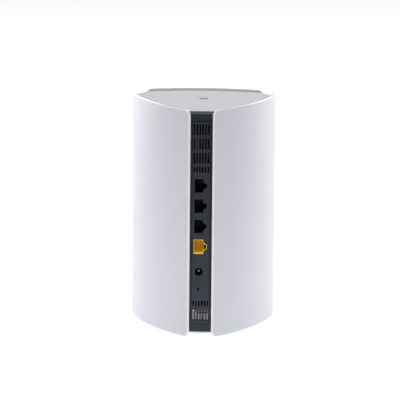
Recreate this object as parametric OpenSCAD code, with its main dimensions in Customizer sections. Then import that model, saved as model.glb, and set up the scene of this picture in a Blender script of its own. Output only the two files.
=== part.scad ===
// Mesh wifi node: a three-winged tower round a dark core, with a port strip at one corner.
// The tower stands on its feet at z = 0, its axis is the z axis, and the port strip faces -Y.

/* [Wings] */
// Height of a wing
wing_h = 205.5; // [180:0.5:250]
// Outer radius of a wing's curved face
wing_r = 175.3; // [150:0.1:260]
// Distance from the tower's axis to the middle of a wing's outer face
wing_apothem = 52.2; // [47:0.1:64]
// Wall of a wing
wing_t = 2; // [1.5:0.1:2.6]
// Gap between neighbouring wings, across their inner edges
wing_gap = 19; // [18.2:0.1:24]
// Radius of a wing's four corners
wing_corner_r = 5.5; // [2:0.5:12]
// Thickness of a wing's hooks
hook_t = 3; // [2:0.5:4]
// Width of a wing's hooks
hook_w = 8; // [5:0.5:14]

/* [Core] */
// Drop from the wings' tops to the cap
cap_drop = 2.4; // [1:0.1:6]
// Thickness of the cap
cap_t = 2; // [1.5:0.1:4]
// Depth from the wings' ends to the corner strips
strip_recess = 2.1; // [1:0.1:4]
// Height of the core's underside above the wings' lower edges
core_lift = 5.2; // [4:0.1:8]
// Wall of the frame and the corner strips
core_wall = 2; // [1.6:0.1:2.6]
// Depth of a corner strip, from its face to where the frame starts
strip_depth = 10.5; // [9:0.5:14]
// Thickness of the base plate
base_t = 2.5; // [2:0.1:4]
// Depth of the dark ledge between the cap and the port strip's face
ledge_depth = 7.2; // [4:0.1:10]
// Chamfer on the port strip's top edge
ledge_chamfer = 1.4; // [0.5:0.1:1.8]
// Clearance between parts that are joined
fit = 0.2; // [0.1:0.05:0.3]
// Clearance between a wing and the frame behind it
wing_clear = 0.4; // [0.3:0.05:0.8]

/* [Vents] */
// Width of a vent slot
vent_w = 1.3; // [0.8:0.1:1.6]
// Distance between vent slots
vent_pitch = 2.5; // [2.2:0.1:2.6]
// Number of vent slots in a row
vent_n = 6; // [3:1:6]
// Height of a tall vent slot
vent_tall = 9.6; // [6:0.1:11]
// Height of a short vent slot
vent_short = 5; // [3:0.1:8]
// Land between two rows of vents
vent_land = 3.1; // [2:0.1:5]

/* [Port panel] */
// Width of the raised port panel
panel_w = 15.6; // [15.4:0.1:16]
// How far the port panel stands proud of its strip
panel_proud = 0.8; // [0.3:0.1:1.5]
// Margin from the strip's ends to the port panel
panel_margin = 8.2; // [6:0.1:12]
// Height of the top socket's centre above the wings' lower edges
port_z = 137.5; // [130:0.1:150]
// Distance between sockets
port_pitch = 18.3; // [17.2:0.1:19]
// Height of a socket's mouth
port_h = 12.2; // [11.9:0.1:12.8]
// Width of a socket's mouth, without its latch notch
port_w = 7.7; // [6.8:0.1:8]
// Rim of the internet socket, which shows in the port panel
wan_rim = 0.4; // [0.3:0.1:0.8]
// Height of the power inlet's centre above the wings' lower edges
power_z = 59.8; // [55:0.1:62]
// Clearance round the power inlet's bore in the port panel
power_clear = 0.2; // [0.1:0.05:0.5]
// Height of the reset hole's centre above the wings' lower edges
reset_z = 44.1; // [42:0.1:47]
// Radius of the reset hole
reset_hole_r = 1.05; // [0.9:0.05:1.4]

/* [Electronics] */
// Thickness of the main board
board_t = 1.6; // [1:0.1:2]
// Distance from the middle of the port strip to the main board's component side
board_offset = 7.1; // [6.9:0.1:7.4]
// Depth of a network socket's body
jack_depth = 18; // [16:0.5:21]
// Bore of the power inlet
power_bore_r = 3.2; // [3:0.05:3.3]
// Radius of the power inlet's centre pin
power_pin_r = 1.05; // [0.8:0.05:1.25]
// Radius of the reset button's plunger
button_r = 0.85; // [0.7:0.05:0.9]
// Travel of the reset button
button_travel = 0.5; // [0.2:0.1:0.8]
// Height of the heat sinks' fins
fin_h = 12; // [5:0.5:14]
// Number of fins on a heat sink
fin_n = 9; // [4:1:10]

/* [Feet] */
// Gap from the ground to the wings' lower edges
ground_gap = 1; // [0.5:0.1:2]
// Radius of a rubber foot
foot_r = 6.5; // [5:0.1:8]
// Distance from the tower's axis to a foot
foot_at = 38; // [34:0.5:38.5]

/* [Hidden] */
$fn = 48;
arc_fn = 240;
eps = 0.01;
wing_at = [90, 210, 330];
corner_at = [270, 30, 150];

z_wing = ground_gap;
z_wing_top = z_wing + wing_h;
z_core = z_wing + core_lift;
z_cap_top = z_wing_top - cap_drop;
z_cap = z_cap_top - cap_t;
z_frame = z_core + base_t;

// Where a wing ends: half its angle, seen from the centre of its own curve
wing_in_r = wing_r - wing_t;
// The corners' rounding runs out past the edges by this much, so it meets them at a clean angle
corner_break = 0.02;
wing_half = 60 - asin((wing_gap / 2 + sin(60) * (wing_r - wing_apothem)) / wing_in_r);
// Distance from the axis to the outermost end of a wing, along the corner's direction
wing_end = sin(60) * wing_r * sin(wing_half) + cos(60) * (wing_apothem - wing_r + wing_r * cos(wing_half));

core_in = wing_t + wing_clear;
core_d = wing_end - strip_recess;
frame_y = core_d - strip_depth;

panel_t = core_wall + panel_proud;
panel_flange_t = 1.2;
panel_lip = 1.5;
y_strip = -core_d;
y_panel = y_strip - panel_proud;
y_panel_back = y_strip + core_wall + panel_flange_t;
z_panel = z_core + panel_margin;
z_panel_top = z_cap_top - panel_margin;

// Rows of vents, each [lower edge, height], counted in from the port panel's ends
vent_margin = 2.3;
z_row_a = z_panel_top - vent_margin - vent_tall;
z_row_f = z_panel + vent_margin;
vent_step = vent_tall + vent_land;
// Above the sockets, as many tall rows as there is room for, then a short one if it fits
z_sockets_top = z_wing + port_z + port_h / 2 + vent_land;
upper_n = max(0, floor((z_row_a - z_sockets_top) / vent_step) + 1);
z_row_d = z_row_a - (upper_n - 1) * vent_step - vent_land - vent_short;
port_rows = concat(
    [for (i = [0 : 1 : upper_n - 1]) [z_row_a - i * vent_step, vent_tall]],
    z_row_d >= z_sockets_top ? [[z_row_d, vent_short]] : [],
    [[z_row_f + vent_step, vent_short], [z_row_f, vent_tall]]
);
rear_vent_n = floor((z_panel_top - z_panel - 2 * vent_margin + vent_land) / vent_step);
rear_rows = [for (i = [0 : rear_vent_n - 1]) [z_row_f + i * vent_step, vent_tall]];

// Status light, in the cap
light_y = 8.5;
lens_r = 7;
lens_flange_r = 7.8;
lens_flange_t = 1.2;
badge_r = 4.6;
badge_t = 0.8;
led_board_r = 12;
led_board_t = 1.2;
lens_leg_h = 4.8;
z_led = z_cap - lens_flange_t - lens_leg_h - led_board_t;
led_post_r = 1.6;
led_post_at = 10;
led_n = 4;
board_top_gap = 2.5;
z_board_top = z_led - board_top_gap;
led_screw_r = 0.72;
led_hole_r = 0.75;
lens_leg_at = 5.6;

// Main board
x_board = -board_offset;
x_board_back = x_board - board_t;
board_y0 = y_panel_back + 1.3;
board_y1 = 38;
board_lift = 10.8;
z_board = z_frame + board_lift;

// Network sockets: three for the local network, then one for the internet
lan_n = 3;
lan_at = [for (i = [0 : lan_n - 1]) z_wing + port_z - i * port_pitch];
wan_at = z_wing + port_z - lan_n * port_pitch;
jack_at = concat(lan_at, [wan_at]);
jack_w = 16;
jack_h = 13.4;
mouth_x0 = x_board + 1.3;
mouth_x1 = mouth_x0 + port_w;
latch_1 = 1.3;
latch_2 = 1.7;
latch_w1 = 6.3;
latch_w2 = 4.2;
mouth_depth = 14.5;
y_jack = y_panel_back;
rim_clear = 0.1;
contact_n = 8;
contact_pitch = 1.02;
contact_w = 0.35;
shield_t = 0.3;

// Power inlet and reset switch
x_power = -1.55;
z_power = z_wing + power_z;
power_hole_r = power_bore_r + power_clear;
power_hole_chamfer = 0.5;
power_w = 9;
power_depth = 14.2;
power_bore_depth = 10;
x_reset = -2;
z_reset = z_wing + reset_z;
switch_w = 6.4;
switch_depth = 4.2;
switch_gap = 1.6;
y_switch = y_panel_back + switch_gap;
button_run = 0.05;
button_tip_gap = 0.4;
button_collar_r = button_r + 0.75;
button_collar_t = 0.8;
chamber_r = button_collar_r + 0.3;
chamber_y0 = y_switch + 0.9;
chamber_y1 = chamber_y0 + button_collar_t + button_travel + 0.3;

// Shield cans, heat sinks and what holds them
can_pitch = 40;
can_y = -6;
can_w = 30;
can_h = 3;
can_wall = 0.4;
pad_t = 1;
pad_w = 24;
sink_base = 2.5;
sink_w = 60;
sink_top_gap = 14.4;
sink_z0 = 56;
sink_z1 = z_board_top - sink_top_gap;
can_n = floor((sink_z1 - sink_z0) / can_pitch);
can_at = [for (i = [0 : can_n - 1]) sink_z0 + can_pitch / 2 + i * can_pitch];
fin_t = 1.2;
sink_y0 = can_y - sink_w / 2;
sink_screw_y = [sink_y0 + 4, sink_y0 + sink_w - 4];
sink_screw_z = [sink_z0 + 5, sink_z1 - 5];
m25_r = 1.25;
m25_core = 1.3;
m25_head_r = 2.3;
m25_head_h = 1.6;

// Feet, base plate and its screws
boss_r = foot_r + 1.4;
foot_seat = 1;
z_boss = z_wing + 0.4;
post_r = 4;
post_h = 22;
screw_len = 16;
web_t = 3;
web_w = 3.5;
web_over_hook = 16;
cradle_y0 = 32;
cradle_h = 15;
rail_lift = 20;
rail_t = 2;

// Air intake through the base plate: its extent along X and Y, and the ribs across it
air_x = [-9, 6];
air_y = [-30, 29];
air_ribs = [-4, 1];
air_rib_w = 1;

hook_low = 24;
hook_under_top = 37.5;
hook_rows = [hook_low, (hook_low + wing_h - hook_under_top) / 2, wing_h - hook_under_top];
web_rows = [for (z = hook_rows) z + web_over_hook];
hook_side = 26;
hook_h = 4;
hook_drop = 4;

antenna_w = 12;
antenna_h = 46;
antenna_t = 0.8;
antenna_stand = 4.2;
antenna_d = wing_apothem - core_in - core_wall - antenna_stand;
antenna_z = [wing_h - 75.5, 40, 60];
antenna_side = [0, 0, -16];
antenna_at = [210, 330, 90];
coax_r = 0.6;
coax_socket_h = 1.2;
// Sockets of the left, right and rear antennas: place along Y and height
coax_at = [[-20, z_board_top - 6.4], [30, z_wing + 60], [30, z_wing + 70]];

// ---- Plan outlines ----

// Three-sided outline with curved sides, set in from the wings' outer faces
module bowed_triangle(inset) {
    intersection_for (a = wing_at)
        rotate(a) translate([wing_apothem - wing_r, 0]) circle(r = wing_r - inset, $fn = arc_fn);
}

// The same outline with its three corners cut flat at a distance from the axis
module core_outline(inset, corner_d) {
    intersection() {
        bowed_triangle(inset);
        polygon([for (a = wing_at) 2 * corner_d * [cos(a), sin(a)]]);
    }
}

// Everything beyond a line across one corner, in the corner's own direction
module beyond(a, d) {
    rotate(a + 90) translate([-100, -100 - d]) square([200, 100]);
}

// ---- Wings ----

// One corner of a wing to cut away, at the end on the side s and at height z, facing up or down
module wing_corner_cut(s, z, up) {
    translate([wing_apothem - wing_r, 0, z])
        rotate(s * wing_half)
            mirror([0, s > 0 ? 0 : 1, 0]) mirror([0, 0, up ? 0 : 1])
                translate([wing_in_r - 3, corner_break - wing_corner_r, corner_break - wing_corner_r])
                    rotate([90, 0, 90]) difference() {
                        cube([wing_corner_r + 5, wing_corner_r + 5, wing_t + 8]);
                        translate([0, 0, -1]) cylinder(r = wing_corner_r, h = wing_t + 10);
                    }
}

// Distance of a wing's inner face from the axis, at a sideways distance y from its middle
function wing_in_reach(y) = wing_apothem - wing_r + sqrt(wing_in_r * wing_in_r - y * y);

// A hook that reaches through the frame and hangs behind its wall
module wing_hook(s, z) {
    x0 = wing_in_reach(hook_side + hook_w / 2) - wing_clear - core_wall - fit - hook_t;
    x1 = wing_in_reach(hook_side - hook_w / 2) + 0.1;
    translate([x0, s * hook_side - hook_w / 2, z]) {
        cube([x1 - x0, hook_w, hook_h]);
        translate([0, 0, -hook_drop]) cube([hook_t, hook_w, hook_h + hook_drop]);
    }
}

module wing(a) {
    color("white") rotate(a) {
        difference() {
            translate([wing_apothem - wing_r, 0, z_wing]) rotate(-wing_half)
                rotate_extrude(angle = 2 * wing_half, $fn = arc_fn)
                    translate([wing_in_r, 0]) square([wing_t, wing_h]);
            for (s = [-1, 1]) {
                wing_corner_cut(s, z_wing, false);
                wing_corner_cut(s, z_wing_top, true);
            }
        }
        for (s = [-1, 1], z = hook_rows) wing_hook(s, z_wing + z);
    }
}

module wing_rear() { wing(90); }
module wing_left() { wing(210); }
module wing_right() { wing(330); }

// ---- Core ----

module frame_section() {
    difference() {
        core_outline(core_in, core_d - core_wall - fit);
        core_outline(core_in + core_wall, core_d - 2 * core_wall - fit);
        for (a = corner_at) beyond(a, frame_y);
    }
}

// Windows that let a wing's hooks through the frame
module hook_windows() {
    for (a = wing_at, s = [-1, 1], z = hook_rows) {
        reach = wing_in_reach(hook_side);
        rotate(a) translate([reach - 7, s * hook_side - hook_w / 2 - fit, z_wing + z - fit])
            cube([9, hook_w + 2 * fit, hook_h + hook_drop + 2 * fit]);
    }
}

// Webs round the inside of the frame, which tie its three walls together
module frame_webs() {
    inner = core_in + core_wall;
    for (z = web_rows) translate([0, 0, z_wing + z]) linear_extrude(web_t) difference() {
        core_outline(inner - eps, frame_y - 6);
        core_outline(inner + web_w, frame_y - 6 - web_w);
        beyond(270, 5);
    }
}

module screw_post(a) {
    rotate(a) {
        translate([foot_at, 0, z_frame]) difference() {
            cylinder(r = post_r, h = post_h);
            translate([0, 0, -1]) cylinder(r = m25_core, h = screw_len);
        }
        difference() {
            translate([foot_at, -web_t / 2, z_frame + 1])
                cube([wing_apothem - core_in - core_wall / 2 - foot_at, web_t, post_h - 1]);
            translate([foot_at, 0, z_frame - 1]) cylinder(r = post_r - 0.5, h = post_h + 2);
        }
    }
}

// Two ribs that hold the rear edge of the main board
module board_rail(x) {
    translate([x, cradle_y0, z_frame + rail_lift])
        cube([rail_t, wing_apothem - core_in - core_wall / 2 - cradle_y0,
            z_board_top - z_frame - rail_lift - 4]);
}

// Two flat pads on the frame's wall that carry antenna i
module antenna_pads(i) {
    for (s = [0, 1]) rotate(antenna_at[i])
        translate([antenna_d, antenna_side[i] - antenna_w / 2,
            z_wing + antenna_z[i] + s * (antenna_h - 5)])
            cube([wing_apothem - core_in - core_wall / 2 - antenna_d, antenna_w, 5]);
}

module inner_frame() {
    color("#33373d") difference() {
        union() {
            translate([0, 0, z_frame]) linear_extrude(z_cap - z_frame) frame_section();
            frame_webs();
            for (a = wing_at) screw_post(a);
            for (x = [x_board_back - fit - rail_t, x_board + fit]) board_rail(x);
            for (i = [0 : 2]) antenna_pads(i);
        }
        hook_windows();
    }
}

// A corner's channel: its face and two sides that run back to the frame, with a lip inside it
module strip_section(a) {
    lip = 5;
    intersection() {
        difference() {
            core_outline(core_in, core_d);
            core_outline(core_in + core_wall, core_d - core_wall);
        }
        beyond(a, frame_y);
    }
    intersection() {
        difference() {
            core_outline(core_in + core_wall, core_d - core_wall + eps);
            core_outline(core_in + core_wall + 1.5, core_d);
        }
        difference() {
            beyond(a, frame_y - lip);
            beyond(a, frame_y + lip);
        }
    }
}

module vents(rows, y, depth) {
    for (r = rows, i = [0 : vent_n - 1])
        translate([(i - (vent_n - 1) / 2) * vent_pitch - vent_w / 2, y, r[0]])
            cube([vent_w, depth, r[1]]);
}

// The dark strip that frames the port panel, with the ledge in front of the cap
module port_strip() {
    ledge_t = cap_t;
    color("#2f343b") difference() {
        union() {
            translate([0, 0, z_core]) linear_extrude(z_cap_top - z_core) strip_section(270);
            translate([0, 0, z_cap_top - ledge_t]) linear_extrude(ledge_t) intersection() {
                core_outline(core_in, core_d);
                beyond(270, core_d - ledge_depth);
            }
            translate([0, 0, z_core]) linear_extrude(base_t) intersection() {
                core_outline(core_in, core_d);
                beyond(270, core_d - ledge_depth);
            }
        }
        // Seats for the front edges of the cap and the base plate
        translate([-40, y_strip + ledge_depth, z_cap]) cube([80, 30, cap_t + 1]);
        translate([-40, y_strip + ledge_depth, z_core - 1]) cube([80, 30, base_t + 1]);
        // Chamfer along the top edge
        translate([0, y_strip, z_cap_top]) rotate([45, 0, 0])
            cube([80, ledge_chamfer * sqrt(2), ledge_chamfer * sqrt(2)], center = true);
        // Window for the port panel
        translate([-panel_w / 2 - fit / 2, y_strip - 1, z_panel - fit / 2])
            cube([panel_w + fit, core_wall + 2, z_panel_top - z_panel + fit]);
    }
}

// Outline of a socket's mouth, with the notch for the plug's latch
module mouth_outline(grow) {
    translate([mouth_x0 - grow, -port_h / 2 - grow]) square([port_w + 2 * grow, port_h + 2 * grow]);
    translate([mouth_x1 - eps, -latch_w1 / 2 - grow]) square([latch_1 + grow, latch_w1 + 2 * grow]);
    translate([mouth_x1 - eps, -latch_w2 / 2 - grow])
        square([latch_1 + latch_2 + grow, latch_w2 + 2 * grow]);
}

// A socket's mouth as a hole along Y, from y to y + depth, centred at height z
module mouth(z, y, depth, grow = 0) {
    translate([0, y + depth, z]) rotate([90, 0, 0]) linear_extrude(depth) mouth_outline(grow);
}

module port_panel() {
    color("#3a4048") difference() {
        union() {
            translate([-panel_w / 2, y_panel, z_panel])
                cube([panel_w, panel_t, z_panel_top - z_panel]);
            translate([0, 0, z_panel - panel_lip]) linear_extrude(z_panel_top - z_panel + 2 * panel_lip)
                intersection() {
                    core_outline(core_in + core_wall + fit, core_d - core_wall);
                    translate([-core_d, y_strip + core_wall]) square([2 * core_d, panel_flange_t]);
                }
        }
        vents(port_rows, y_panel - 1, panel_t + panel_flange_t + 2);
        for (z = lan_at) mouth(z, y_panel - 1, panel_t + panel_flange_t + 2);
        mouth(wan_at, y_panel - 1, panel_t + panel_flange_t + 2, wan_rim + rim_clear);
        translate([x_power, y_panel - 1, z_power]) rotate([-90, 0, 0])
            cylinder(r = power_hole_r, h = panel_t + panel_flange_t + 2);
        translate([x_power, y_panel - eps, z_power]) rotate([-90, 0, 0])
            cylinder(r1 = power_hole_r + power_hole_chamfer, r2 = power_hole_r, h = power_hole_chamfer);
        translate([x_reset, y_panel - 1, z_reset]) rotate([-90, 0, 0])
            cylinder(r = reset_hole_r, h = panel_t + panel_flange_t + 2);
    }
}

module rear_strip(a) {
    color("#2f343b") difference() {
        translate([0, 0, z_frame]) linear_extrude(z_cap - z_frame) strip_section(a);
        rotate(a + 90) vents(rear_rows, y_strip - 1, core_wall + 2);
    }
}

module rear_strip_left() { rear_strip(150); }
module rear_strip_right() { rear_strip(30); }

// Light plate over the core, with a rim that drops inside the frame
module top_cap() {
    rim_h = 3;
    rim_t = 1.5;
    color("#d2d2d6") {
        difference() {
            union() {
                translate([0, 0, z_cap]) linear_extrude(cap_t) difference() {
                    core_outline(core_in, core_d);
                    beyond(270, core_d - ledge_depth);
                }
                translate([0, 0, z_cap - rim_h]) linear_extrude(rim_h + eps) difference() {
                    core_outline(core_in + core_wall + fit, frame_y - 6);
                    core_outline(core_in + core_wall + fit + rim_t, frame_y - 6 - rim_t);
                }
                for (s = [-1, 1]) translate([s * led_post_at, light_y, z_led + led_board_t])
                    cylinder(r = led_post_r, h = z_cap - z_led - led_board_t + eps);
            }
            translate([0, light_y, z_cap - 1]) cylinder(r = lens_r + fit / 2, h = cap_t + 2);
            for (s = [-1, 1]) translate([s * led_post_at, light_y, z_led])
                cylinder(r = led_hole_r, h = led_board_t + 3.5);
        }
    }
}

module status_lens() {
    color("#eef3f8") translate([0, light_y, 0]) difference() {
        union() {
            translate([0, 0, z_cap - lens_flange_t]) cylinder(r = lens_flange_r, h = lens_flange_t);
            translate([0, 0, z_cap - eps]) cylinder(r = lens_r, h = cap_t - 0.3);
            for (i = [0 : led_n - 1]) rotate(45 + i * 360 / led_n)
                translate([lens_leg_at, 0, z_led + led_board_t + 1.2])
                    cylinder(r = 1.2, h = lens_leg_h - 1);
        }
        translate([0, 0, z_cap_top - 0.3 - badge_t]) cylinder(r = badge_r + 0.1, h = 2);
    }
}

module status_badge() {
    color("#a4a7ac") translate([0, light_y, z_cap_top - 0.3 - badge_t])
        cylinder(r = badge_r, h = badge_t);
}

// ---- Base ----

module base_plate() {
    color("#c4c4c8") difference() {
        union() {
            translate([0, 0, z_core]) linear_extrude(base_t) difference() {
                core_outline(core_in, core_d);
                beyond(270, core_d - ledge_depth);
            }
            for (a = wing_at) rotate(a) translate([foot_at, 0, z_boss])
                cylinder(r = boss_r, h = z_core - z_boss + eps);
            // Cradle for the main board's lower edge
            translate([x_board_back - fit - rail_t, cradle_y0, z_frame - eps])
                cube([board_t + 2 * fit + 2 * rail_t, board_y1 - cradle_y0, cradle_h]);
        }
        translate([x_board_back - fit, cradle_y0 - 1, z_board])
            cube([board_t + 2 * fit, board_y1 - cradle_y0 + 2, cradle_h]);
        for (a = wing_at) rotate(a) translate([foot_at, 0, 0]) {
            translate([0, 0, z_boss - 1]) cylinder(r = foot_r + fit / 2, h = foot_seat + 1);
            translate([0, 0, z_boss]) cylinder(r = m25_head_r + fit, h = z_core - z_boss);
            cylinder(r = m25_core, h = z_frame + 1);
        }
        // Slots that let cool air in, with a larger intake under the main board
        for (s = [-1, 1], x = [0 : 3]) translate([s * (14 + x * 5) - 1, -12, z_core - 1])
            cube([2, 24 - 3 * x, base_t + 2]);
        difference() {
            translate([air_x[0], air_y[0], z_core - 1])
                cube([air_x[1] - air_x[0], air_y[1] - air_y[0], base_t + 2]);
            for (x = air_ribs) translate([x - air_rib_w / 2, air_y[0] - 1, z_core - 2])
                cube([air_rib_w, air_y[1] - air_y[0] + 2, base_t + 4]);
        }
    }
}

module rubber_feet() {
    color("#26282b") for (a = wing_at) rotate(a) translate([foot_at, 0, 0])
        cylinder(r = foot_r, h = z_boss + foot_seat);
}

module screw(len) {
    difference() {
        union() {
            cylinder(r = m25_r, h = len);
            translate([0, 0, -m25_head_h]) cylinder(r = m25_head_r, h = m25_head_h);
        }
        translate([0, 0, -m25_head_h - eps]) cylinder(r = 1, h = 0.9, $fn = 6);
    }
}

module base_screws() {
    color("silver") for (a = wing_at) rotate(a) translate([foot_at, 0, z_core]) screw(screw_len - 2);
}

// ---- Main board and what is on it ----

module main_board() {
    color("#1f5a3c") difference() {
        translate([x_board_back, board_y0, z_board])
            cube([board_t, board_y1 - board_y0, z_board_top - z_board]);
        for (y = sink_screw_y, z = sink_screw_z) translate([x_board_back - 1, y, z])
            rotate([0, 90, 0]) cylinder(r = m25_core + 0.2, h = board_t + 2);
    }
}

// A socket centred at height z, with a rim that reaches the port panel's face if it has one
module jack(z, rim = 0) {
    y0 = rim > 0 ? y_panel : y_jack;
    difference() {
        union() {
            translate([x_board, y_jack, z - jack_w / 2]) cube([jack_h, jack_depth, jack_w]);
            if (rim > 0) mouth(z, y0, y_jack - y0 + eps, rim);
        }
        mouth(z, y0 - 1, y_jack + mouth_depth - y0 + 1);
    }
}

module lan_jack_1() { color("#17181a") jack(jack_at[0]); }
module lan_jack_2() { color("#17181a") jack(jack_at[1]); }
module lan_jack_3() { color("#17181a") jack(jack_at[2]); }
module wan_jack() { color("#e0b020") jack(wan_at, wan_rim); }

module jack_shields() {
    color("silver") for (z = jack_at) difference() {
        translate([x_board, y_jack + 0.5, z - jack_w / 2 - shield_t])
            cube([jack_h + shield_t, jack_depth - 0.5 + shield_t, jack_w + 2 * shield_t]);
        translate([x_board - 1, y_jack - 1, z - jack_w / 2])
            cube([jack_h + 1, jack_depth + 1, jack_w]);
    }
}

// One spring contact: it rises from the mouth's board side and comes back down
module contact() {
    rise = 1.3;
    y0 = y_jack + 2.5;
    y1 = y_jack + mouth_depth - 3;
    translate([mouth_x0, 0, -contact_w / 2]) linear_extrude(contact_w) polygon([
        [0, y0], [rise, y1 - 2], [rise, y1 - 1.6], [0, y1],
        [0, y1 - 0.6], [rise - 0.4, y1 - 1.8], [0, y0 + 0.6]
    ]);
}

module jack_contacts() {
    color("gold") for (z = jack_at, i = [0 : contact_n - 1])
        translate([0, 0, z + (i - (contact_n - 1) / 2) * contact_pitch]) contact();
}

module power_jack() {
    color("#17181a") difference() {
        translate([x_board, y_jack, z_power - power_w / 2])
            cube([x_power + power_w / 2 - x_board, power_depth, power_w]);
        translate([x_power, y_jack - 1, z_power]) rotate([-90, 0, 0])
            cylinder(r = power_bore_r, h = power_bore_depth + 1);
    }
}

module power_pin() {
    color("silver") translate([x_power, y_jack + 0.8, z_power]) rotate([-90, 0, 0])
        cylinder(r = power_pin_r, h = power_bore_depth - 0.8);
}

// Side-push switch: its bore guides the plunger, whose collar runs in a chamber behind
module reset_switch() {
    color("#202225") difference() {
        translate([x_board, y_switch, z_reset - switch_w / 2])
            cube([x_reset + 2.8 - x_board, switch_depth, switch_w]);
        translate([x_reset, y_switch - 1, z_reset]) rotate([-90, 0, 0])
            cylinder(r = button_r + button_run, h = chamber_y0 - y_switch + 1 + eps);
        translate([x_reset, chamber_y0, z_reset]) rotate([-90, 0, 0])
            cylinder(r = chamber_r, h = chamber_y1 - chamber_y0);
    }
}

module reset_button() {
    tip_y = y_panel_back + button_tip_gap;
    color("#d8d8d8") {
        translate([x_reset, tip_y, z_reset]) rotate([-90, 0, 0])
            cylinder(r = button_r, h = chamber_y0 - tip_y + 0.3);
        translate([x_reset, chamber_y0 + 0.1, z_reset]) rotate([-90, 0, 0])
            cylinder(r = button_collar_r, h = button_collar_t);
    }
}

module shield_cans() {
    color("silver") for (z = can_at) difference() {
        translate([x_board, can_y - can_w / 2, z - can_w / 2]) cube([can_h, can_w, can_w]);
        translate([x_board - 1, can_y - can_w / 2 + can_wall, z - can_w / 2 + can_wall])
            cube([can_h + 1 - can_wall, can_w - 2 * can_wall, can_w - 2 * can_wall]);
    }
}

module thermal_pads() {
    color("#8fa7c4") for (z = can_at)
        translate([x_board + can_h, can_y - pad_w / 2, z - pad_w / 2])
            cube([pad_t, pad_w, pad_w]);
}

// A finned plate whose base lies at x, with its fins towards the side s
module finned_plate(x, s) {
    step = (sink_w - fin_t) / (fin_n - 1);
    translate([x, 0, 0]) mirror([s > 0 ? 0 : 1, 0, 0]) difference() {
        union() {
            translate([0, sink_y0, sink_z0]) cube([sink_base, sink_w, sink_z1 - sink_z0]);
            for (i = [0 : fin_n - 1]) translate([sink_base - eps, sink_y0 + i * step, sink_z0 + 11])
                cube([fin_h, fin_t, sink_z1 - sink_z0 - 22]);
        }
        for (y = sink_screw_y, z = sink_screw_z) translate([-1, y, z])
            rotate([0, 90, 0]) cylinder(r = m25_core, h = sink_base + 2);
    }
}

module heat_sink() { color("#b8bcc2") finned_plate(x_board + can_h + pad_t, 1); }
module rear_heat_sink() { color("#b8bcc2") finned_plate(x_board_back - pad_t, -1); }

module rear_thermal_pad() {
    color("#8fa7c4") translate([x_board_back - pad_t, can_y - 14, sink_z0 + 14])
        cube([pad_t, 28, sink_z1 - sink_z0 - 28]);
}

module heat_sink_screws() {
    x_head = x_board + can_h + pad_t + sink_base;
    len = can_h + 2 * pad_t + 2 * sink_base + board_t;
    color("silver") for (y = sink_screw_y, z = sink_screw_z)
        translate([x_head, y, z]) rotate([0, -90, 0]) screw(len);
}

module magnetics() {
    color("#1b1c1e") for (z = [jack_at[0] - 3, wan_at + 3])
        translate([x_board, y_jack + jack_depth + 1.5, z - 8]) cube([5.5, 6, 16]);
}

module capacitors() {
    color("#2c3f6a") for (y = [-42, -31]) translate([x_board, y, z_wing + 46])
        rotate([0, 90, 0]) {
            cylinder(r = 4, h = 9);
            translate([0, 0, 9 - eps]) cylinder(r = 3.6, h = 0.4);
        }
}

module inductors() {
    color("#4a4d50") for (y = [-24, -12]) translate([x_board, y, z_wing + 42]) cube([3.6, 8, 8]);
}

module flash_chip() {
    color("#1b1c1e") translate([x_board, 2, z_wing + 42]) cube([1, 6, 8]);
}

module coax_sockets() {
    color("gold") for (p = coax_at) translate([x_board, p[0], p[1]])
        rotate([0, 90, 0]) cylinder(r = 1.3, h = coax_socket_h);
}

// ---- Antennas ----

module antenna(i) {
    color("#2a5c3a") rotate(antenna_at[i])
        translate([antenna_d - antenna_t, antenna_side[i] - antenna_w / 2, z_wing + antenna_z[i]])
            cube([antenna_t, antenna_w, antenna_h]);
}

module antenna_left() { antenna(0); }
module antenna_right() { antenna(1); }
module antenna_rear() { antenna(2); }

// Ring of points round a route's point, square to the route's direction there
function unit(v) = v / norm(v);
function heading(path, i) = unit(path[min(i + 1, len(path) - 1)] - path[max(i - 1, 0)]);
function side_of(d) = unit(cross(d, abs(d[2]) < 0.9 ? [0, 0, 1] : [1, 0, 0]));
function ring(p, d, r, n) = let (u = side_of(d), v = cross(d, u))
    [for (k = [0 : n - 1]) p + r * (cos(k * 360 / n) * u + sin(k * 360 / n) * v)];

module tube(path, r, n = 8) {
    m = len(path);
    pts = [for (i = [0 : m - 1]) each ring(path[i], heading(path, i), r, n)];
    walls = [for (i = [0 : m - 2], k = [0 : n - 1])
        [i * n + k, i * n + (k + 1) % n, (i + 1) * n + (k + 1) % n, (i + 1) * n + k]];
    polyhedron(pts, concat([[for (k = [n - 1 : -1 : 0]) k]],
        walls, [[for (k = [0 : n - 1]) (m - 1) * n + k]]));
}

// Smooth route through a few chosen points
function spline(a, b, c, d, t) = 0.5 * ((2 * b) + (c - a) * t + (2 * a - 5 * b + 4 * c - d) * t * t
    + (3 * b - a - 3 * c + d) * t * t * t);
function smooth(p, n) = let (m = len(p)) concat(
    [for (i = [0 : m - 2], k = [0 : n - 1])
        spline(p[max(i - 1, 0)], p[i], p[i + 1], p[min(i + 2, m - 1)], k / n)], [p[m - 1]]);

// The coaxial lead of antenna i: from its socket, through chosen points, to a height z on the antenna.
// The points' heights are above the socket.
module coax(i, mid, z) {
    a = antenna_at[i];
    out = [cos(a), sin(a), 0];
    start = [x_board + coax_socket_h, coax_at[i][0], coax_at[i][1]];
    end = (antenna_d - antenna_t) * out + antenna_side[i] * [-sin(a), cos(a), 0]
        + [0, 0, z_wing + antenna_z[i] + z];
    route = concat([start + [1.4, 0, 0]], [for (p = mid) p + [0, 0, coax_at[i][1]]], [end - 2.5 * out]);
    color("#202225") tube(concat([start], smooth(route, 5), [end]), coax_r);
}

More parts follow.
